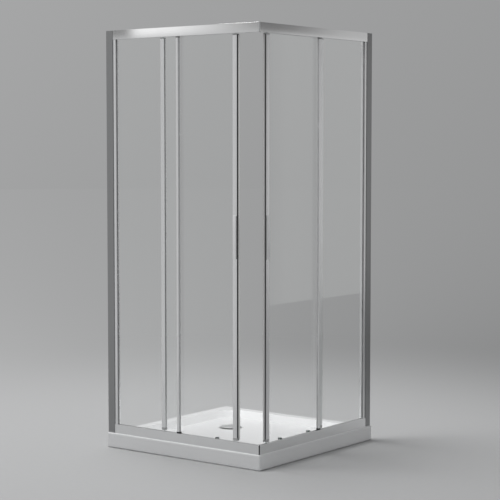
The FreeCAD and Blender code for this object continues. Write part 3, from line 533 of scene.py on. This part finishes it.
# Doors
# Toughened glass between two anodised stiles with moulded ends. The leading stile carries a pull of
# bead-blasted aluminium and a magnetic strip, which meets the other door's strip on the diagonal.

end_tone = (0.42, 0.424, 0.428, 1.0)
carrier_tone = (0.03, 0.03, 0.031, 1.0)
tip_tone = (0.70, 0.70, 0.69, 1.0)
carrier_share = 0.5
strip_waves = (700.0, 700.0, 30.0)
pull_tone = (0.90, 0.905, 0.91, 1.0)
pull_roughness = 0.3
pull_roughness_swing = 0.1
pull_blast_waves = 2200.0
pull_cloud_waves = (30.0, 30.0, 12.0)
pull_foot_share = 0.63
pull_plate = 0.003
pull_edge = 0.0011
pull_edge_steps = 4


def magnet_plastic(side, run):
    """Soft strip of a door that runs along X or Y: a dark carrier at the stile and a pale tip."""
    material, start = new_finish(side + "_magnet_plastic", {"IOR": 1.5, "Roughness": 0.4})
    low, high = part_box(side + "_magnet_strip")
    place = place_on_object(start)
    across = start.node("ShaderNodeSeparateXYZ", {}, {"Vector": place}, "XYZ"[run])
    middle = low[run] + (high[run] - low[run]) * carrier_share
    tip = across > middle if side == "left" else across < middle
    grain = noise(place, *strip_waves)
    feed(material, "Base Color", blend(carrier_tone, tip_tone, tip * (0.85 + 0.15 * grain)))
    feed(material, "Normal", relief(grain, depth=0.00005, strength=0.3))
    return material


def pearl_aluminium():
    """Bead-blasted and anodised aluminium: part mirror, part chalky."""
    material, start = new_finish("pearl_aluminium", {"Metallic": 0.45, "IOR": 1.6})
    place = place_on_object(start)
    blast = noise(place, pull_blast_waves, detail=4.0)
    cloud = noise(place, *pull_cloud_waves)
    darker = toned(pull_tone, share=0.94)
    feed(material, "Base Color", blend(darker, pull_tone, 0.5 * blast + 0.5 * cloud))
    feed(material, "Roughness", pull_roughness + (blast - 0.5) * pull_roughness_swing)
    feed(material, "Normal", relief(blast, depth=0.00003, strength=0.5))
    return material


def door_pull():
    """Pull of the left door: a flat grip on a foot along its leading half, with eased edges."""
    low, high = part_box("left_handle")
    foot_start = high.x - (high.x - low.x) * pull_foot_share
    middle = (low + high) / 2
    pull = begin(bpy.ops.mesh.primitive_cube_add, "left_pull", size=1,
                 location=(middle.x, low.y + pull_plate / 2, middle.z),
                 scale=(high.x - low.x, pull_plate, high.z - low.z))
    bpy.ops.mesh.select_all(action="SELECT")
    bpy.ops.mesh.bisect(plane_co=(foot_start, 0, 0), plane_no=(1, 0, 0))
    pick(pull, lambda place, normal: normal.y > 0.5 and place.x > foot_start)
    extrude((0, high.y - low.y - pull_plate, 0))
    round_off(pull, pull_edge, pull_edge_steps)
    pull.data.materials.append(pearl)
    return pull


def move_over(piece, node):
    """Moves a piece so that its lowest corner meets that of a CAD node."""
    corners = [vertex.co for vertex in piece.data.vertices]
    lowest = Vector([min(corner[axis] for corner in corners) for axis in (X, Y, Z)])
    piece.data.transform(Matrix.Translation(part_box(node)[0] - lowest))


pearl = pearl_aluminium()
end_plastic = moulded_plastic("end_plastic", end_tone, roughness=0.35)

left_pull = door_pull()
right_pull = mirrored(left_pull, "right_pull")
move_over(right_pull, "right_handle")
for side, run, pull in (("left", X, left_pull), ("right", Y, right_pull)):
    hang(pull, side + "_door", side + "_handle")
    dress(side + "_door_glass", sheets[side])
    dress(side + "_leading_stile", upright_aluminium)
    dress(side + "_trailing_stile", upright_aluminium)
    dress(side + "_stile_caps", end_plastic)
    dress(side + "_magnet_strip", magnet_plastic(side, run))


# Rollers
# Nylon wheels on steel studs. The top ones hang the door from plates clamped to its glass, and the
# bottom ones sit on moulded arms, with dark knobs outside the glass that release them.

nylon_tone = (0.66, 0.655, 0.63, 1.0)
race_tone = (0.70, 0.705, 0.71, 1.0)
arm_tone = (0.26, 0.261, 0.264, 1.0)
knob_tone = (0.12, 0.121, 0.124, 1.0)
bar_sides = 48
groove_width = 0.0026
groove_depth = 0.0015
bearing_radius = 0.0056
bore_radius = 0.00255
stud_radius = 0.0025
stud_head_gap = 0.000325
head_radius = 0.004
head_height = 0.0014
bolt_radius = 0.005
bolt_height = 0.0022
bolt_spacing = 0.024
bolt_drop = 0.0083
bolt_reach = 0.0095
cross_length = 0.0052
cross_width = 0.0011
cross_depth = 0.0012
knob_radius = 0.005
knob_height = 0.0035
knob_ribs = 48
stem_radius = 0.004
stem_chamfer = 0.0005


def small_bar(name, place, radius, depth, sides=bar_sides):
    """Round bar along Y, with its middle at place."""
    return begin(bpy.ops.mesh.primitive_cylinder_add, name, vertices=sides, radius=radius,
                 depth=depth, location=place, rotation=(math.pi / 2, 0, 0))


def grooved_wheel(node):
    """Wheel with a groove for the track and a steel bearing in its middle, in a CAD wheel's place."""
    low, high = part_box(node)
    middle = (low + high) / 2
    radius = (high.z - low.z) / 2
    core = radius - groove_depth
    flange = (high.y - low.y - groove_width) / 2
    web = radius - bearing_radius
    race = bearing_radius - bore_radius
    slope = flange / 5
    step = flange / 10
    wheel = small_bar(node + "_tyre", (middle.x, low.y + flange / 2, middle.z), radius, flange)
    pick(wheel, lambda place, normal: normal.y > 0.9)
    inset(groove_depth)
    extrude((0, groove_width, 0))
    extrude((0, 0, 0))
    bpy.ops.transform.resize(value=(radius / core, 1, radius / core),
                             center_override=(middle.x, low.y + flange, middle.z))
    extrude((0, flange, 0))
    for end, way in ((low.y, -1), (high.y, 1)):
        pick(wheel, lambda place, normal: normal.y * way > 0.9 and abs(place.y - end) < flange / 4)
        inset(web / 3)
        inset(slope, -slope)
        inset(web * 2 / 3 - slope)
        inset(step, step)
        inset(race / 3)
        inset(step, -step)
        inset(race * 2 / 3 - step * 2)
    pick(wheel, lambda place, normal: abs(normal.y) > 0.9 and
         math.hypot(place.x - middle.x, place.z - middle.z) < flange / 10)
    bpy.ops.mesh.bridge_edge_loops()
    round_off(wheel, flange / 12)
    wheel.data.materials.append(pale_nylon)
    wheel.data.materials.append(bearing_steel)
    for face in wheel.data.polygons:
        if math.hypot(face.center.x - middle.x, face.center.z - middle.z) < bearing_radius:
            face.material_index = 1
    return wheel


def wheel_stud(place, reach):
    """Shouldered stud with a dimpled head, whose shank runs outwards for the given reach."""
    stud = small_bar("stud", (place.x, place.y + head_height / 2, place.z), head_radius, head_height)
    pick(stud, lambda spot, normal: normal.y < -0.9)
    inset(head_radius - stud_radius)
    extrude((0, -reach, 0))
    pick(stud, lambda spot, normal: normal.y > 0.9 and spot.y > place.y)
    inset(head_radius / 3)
    inset(head_radius / 8, -head_height / 5)
    round_off(stud, head_height / 6)
    stud.data.materials.append(zinc_steel)
    return stud


def cross_bolt(place):
    """Pan head screw with a cross recess; place is the middle of its head's face on the glass."""
    rim = bolt_height * 3 / 4
    bolt = small_bar("bolt", (place.x, place.y - rim / 2, place.z), bolt_radius, rim)
    pick(bolt, lambda spot, normal: normal.y < -0.9)
    inset(bolt_radius / 5, bolt_height / 6)
    inset(bolt_radius / 4, bolt_height / 12)
    pick(bolt, lambda spot, normal: normal.y > 0.9)
    inset(bolt_radius - stud_radius)
    extrude((0, bolt_reach - bolt_height, 0))
    bpy.ops.object.mode_set(mode="OBJECT")
    for width, height in ((cross_length, cross_width), (cross_width, cross_length)):
        cutter = begin(bpy.ops.mesh.primitive_cube_add, "cutter", size=1,
                       location=(place.x, place.y - bolt_height, place.z),
                       scale=(width, cross_depth * 2, height))
        bpy.ops.object.mode_set(mode="OBJECT")
        bpy.ops.object.select_all(action="DESELECT")
        bpy.context.view_layer.objects.active = bolt
        bolt.select_set(True)
        recess = bolt.modifiers.new("recess", "BOOLEAN")
        recess.operation = "DIFFERENCE"
        recess.object = cutter
        bpy.ops.object.modifier_apply(modifier="recess")
        bpy.data.objects.remove(cutter)
    bpy.ops.object.shade_smooth_by_angle(angle=smooth_angle)
    bolt.data.materials.append(zinc_steel)
    return bolt


def release_knob(node):
    """Knob with a ribbed rim and a dished face, on a stem that comes out through the glass."""
    low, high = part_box(node)
    middle = (low + high) / 2
    underside = high.y - knob_height
    knob = small_bar(node + "_knob", (middle.x, high.y - knob_height / 2, middle.z), knob_radius,
                     knob_height, knob_ribs)
    # Every second face round the rim sinks in, which leaves the ribs between
    pick(knob, lambda place, normal: abs(normal.y) < 0.1 and
         round(math.degrees(math.atan2(normal.z, normal.x)) * knob_ribs / 360 - 0.5) % 2 == 0)
    inset(knob_radius / 60, -knob_radius / 14, each=True)
    pick(knob, lambda place, normal: normal.y > 0.9 and place.y > high.y - knob_height / 10)
    inset(knob_radius / 7)
    inset(knob_radius / 8, -knob_height / 9)
    inset(knob_radius / 3, -knob_height / 20)
    pick(knob, lambda place, normal: normal.y < -0.9 and place.y < underside + knob_height / 10)
    inset(knob_radius - stem_radius)
    extrude((0, low.y - underside + stem_chamfer, 0))
    inset(stem_chamfer, stem_chamfer)
    round_off(knob, knob_radius / 40)
    knob.data.materials.append(black_plastic)
    knob.data.materials.append(grey_knob)
    for face in knob.data.polygons:
        if face.center.y > underside - knob_height / 10:
            face.material_index = 1
    return knob


def copy_to(model, name, base, target, turned):
    """Copy of a model with base moved to target, turned a quarter for the right side."""
    turn = Matrix.Rotation(math.pi / 2 if turned else 0.0, 4, "Z")
    return copy_by(Matrix.Translation(target) @ turn @ Matrix.Translation(-base), model, name)


def middle_of(node):
    low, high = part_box(node)
    return (low + high) / 2


pale_nylon = moulded_plastic("pale_nylon", nylon_tone, roughness=0.4)
bearing_steel = grained_metal("bearing_steel", race_tone, roughness=0.25, waves=900.0)
grey_knob = moulded_plastic("grey_knob", knob_tone, roughness=0.4)

for model, kind, pattern, slot in ((grooved_wheel, "tyre", "%s_top_%s_wheel", "pale_nylon"),
                                   (grooved_wheel, "tyre", "%s_bottom_%s_wheel", "pale_nylon"),
                                   (release_knob, "knob", "%s_%s_button", "black_plastic")):
    first = pattern % ("left", "front")
    piece = model(first)
    hang(piece, first, first)
    for side, end in (("left", "rear"), ("right", "front"), ("right", "rear")):
        node = pattern % (side, end)
        twin = copy_to(piece, node + "_" + kind, middle_of(first), middle_of(node), side == "right")
        hang(twin, node, node)

wheel_middle = middle_of("left_top_front_wheel")
wheel_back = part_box("left_top_front_wheel")[1].y
hanger_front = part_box("left_roller_hangers")[0].y
glass_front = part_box("left_door_glass")[0].y
stud_place = Vector((wheel_middle.x, wheel_back + stud_head_gap, wheel_middle.z))
stud_model = wheel_stud(stud_place, stud_place.y - hanger_front)
bolt_place = Vector((wheel_middle.x, glass_front, wheel_middle.z - bolt_drop))
bolt_model = cross_bolt(bolt_place)
for side, facing, way in (("left", Y, Vector((1, 0, 0))), ("right", X, Vector((0, 1, 0)))):
    turned = side == "right"
    parts = []
    for end in ("front", "rear"):
        for level in ("top", "bottom"):
            hub = middle_of("%s_%s_%s_wheel" % (side, level, end))
            parts.append(copy_to(stud_model, "stud", wheel_middle, hub, turned))
        hub = middle_of("%s_top_%s_wheel" % (side, end))
        for half in (-0.5, 0.5):
            spot = hub + way * bolt_spacing * half
            parts.append(copy_to(bolt_model, "bolt", wheel_middle, spot, turned))
    studs = merge(parts, side + "_studs_and_bolts")
    hang(studs, side + "_door", side + "_roller_studs")
    dress(side + "_roller_hangers", zinc_steel)
    # The arms are grey in the cabin, and their clamp rings outside the glass are black
    glass = middle_of(side + "_door_glass")[facing]
    arms = two_tone_plastic(side + "_arm_plastic", arm_tone, black_tone, facing,
                            lambda depth: depth > glass if turned else depth < glass,
                            roughness=0.42)
    dress(side + "_roller_arms", arms)
for model in (stud_model, bolt_model):
    bpy.data.objects.remove(model)


# Studio
# A pale seamless floor under one soft lamp, with three light panels outside the picture that show
# as reflections. The camera stands where the photograph was taken from.

floor_tone = (0.41, 0.412, 0.415, 1.0)
dim_tone = (0.15, 0.152, 0.154, 1.0)
lit_tone = (0.62, 0.623, 0.626, 1.0)
dark = (0.0, 0.0, 0.0, 1.0)
lit_side = (-0.45, -0.6, 0.66)
matt_light = {"Roughness": 0.9, "Specular IOR Level": 0.0, "Emission Strength": 1.0}
floor_grain_waves = 40.0
floor_sides = 64
floor_reach = 40.0
fade_start = 0.9
fade_run = 3.2
left_glow = ((0.17, 0.25), (0.22, 1.10), (0.43, 1.02), (0.91, 0.32))
right_top_glow = ((0.14, 0.17), (0.33, 0.22), (0.64, 0.46), (1.0, 0.53))
right_glow = ((0.0, 0.95), (0.25, 0.90), (0.31, 0.40), (0.45, 0.64), (0.61, 0.62), (1.0, 0.64))
# Each panel's name, middle, turn in degrees, width, height and glow
light_panels = (("left_panel", (-4.35, -5.72, 2.86), 0, 2.1, 0.92, left_glow),
                ("right_top_panel", (4.4, 5.75, 2.855), 90, 2.5, 0.93, right_top_glow),
                ("right_panel", (4.4, 5.45, 1.195), 90, 3.1, 2.39, right_glow))
lamp_place = (-1.7, -0.6, 6.8)
lamp_size = 3.0
lamp_power = 345.0
camera_place = (4.4056, -5.7177, 1.4358)
camera_turn = 37.274
camera_dip = 4.044
camera_lens = 110.0
camera_sensor = 36.0


def surround(towards):
    """Colour of the studio in a direction: paler above and to the left of the camera."""
    share = towards.node("ShaderNodeVectorMath", {"operation": "DOT_PRODUCT"},
                         {0: towards, 1: lit_side}, "Value")
    return blend(dim_tone, lit_tone, share * 0.5 + 0.5)


def floor_finish():
    """Matt floor that fades into the colour of the studio away from the tray."""
    material, start = new_finish("studio_floor", matt_light)
    place = place_on_object(start)
    grain = noise(place, floor_grain_waves)
    reach = start.node("ShaderNodeVectorMath", {"operation": "LENGTH"}, {0: place}, "Value")
    fade = start.node("ShaderNodeMapRange", {"interpolation_type": "SMOOTHSTEP"},
                      {"Value": reach, "From Min": fade_start, "From Max": fade_start + fade_run})
    towards = start.node("ShaderNodeVectorMath", {"operation": "NORMALIZE"}, {0: place}, "Vector")
    grained = blend(floor_tone, toned(floor_tone, share=1.04), grain)
    feed(material, "Base Color", blend(grained, dark, fade))
    feed(material, "Emission Color", blend(dark, surround(towards), fade))
    return material


def panel_finish(name, glow):
    """Light panel whose brightness changes along it; glow gives shares of its length and tones."""
    material, start = new_finish(name, matt_light | {"Base Color": dark})
    place = start.node("ShaderNodeTexCoord", {}, {}, "UV")
    along = start.node("ShaderNodeSeparateXYZ", {}, {"Vector": place}, "X")
    stops = [(share, (tone, tone, tone, 1.0)) for share, tone in glow]
    feed(material, "Emission Color", along.node("ShaderNodeValToRGB", {"stops": stops}, {0: along}))
    return material


floor = begin(bpy.ops.mesh.primitive_circle_add, "studio_floor", vertices=floor_sides,
              radius=floor_reach, fill_type="NGON")
bpy.ops.object.mode_set(mode="OBJECT")
floor.data.materials.append(floor_finish())

world = bpy.data.worlds.new("studio")
bpy.context.scene.world = world
world.use_nodes = True
towards = Wire(world.node_tree).node("ShaderNodeTexCoord", {}, {}, "Generated")
background = world.node_tree.nodes["Background"]
world.node_tree.links.new(surround(towards).socket, background.inputs["Color"])

for name, place, turn, width, height, glow in light_panels:
    panel = begin(bpy.ops.mesh.primitive_plane_add, name, size=1, location=place,
                  rotation=(math.pi / 2, 0, math.radians(turn)))
    bpy.ops.mesh.select_all(action="SELECT")
    bpy.ops.transform.resize(value=(width, width, height), center_override=place)
    bpy.ops.object.mode_set(mode="OBJECT")
    panel.data.materials.append(panel_finish(name, glow))
    panel.visible_camera = False

bpy.ops.object.light_add(type="AREA", location=lamp_place)
lamp = bpy.context.object
lamp.name = "top_lamp"
lamp.data.size = lamp_size
lamp.data.energy = lamp_power
lamp.visible_camera = False
lamp.rotation_euler = (-Vector(lamp_place)).to_track_quat("-Z", "Y").to_euler()

bpy.ops.object.camera_add(location=camera_place)
camera = bpy.context.object
camera.data.lens = camera_lens
camera.data.sensor_width = camera_sensor
camera.rotation_euler = (math.radians(90 - camera_dip), 0, math.radians(camera_turn))
bpy.context.scene.camera = camera
bpy.context.scene.view_settings.view_transform = "Standard"
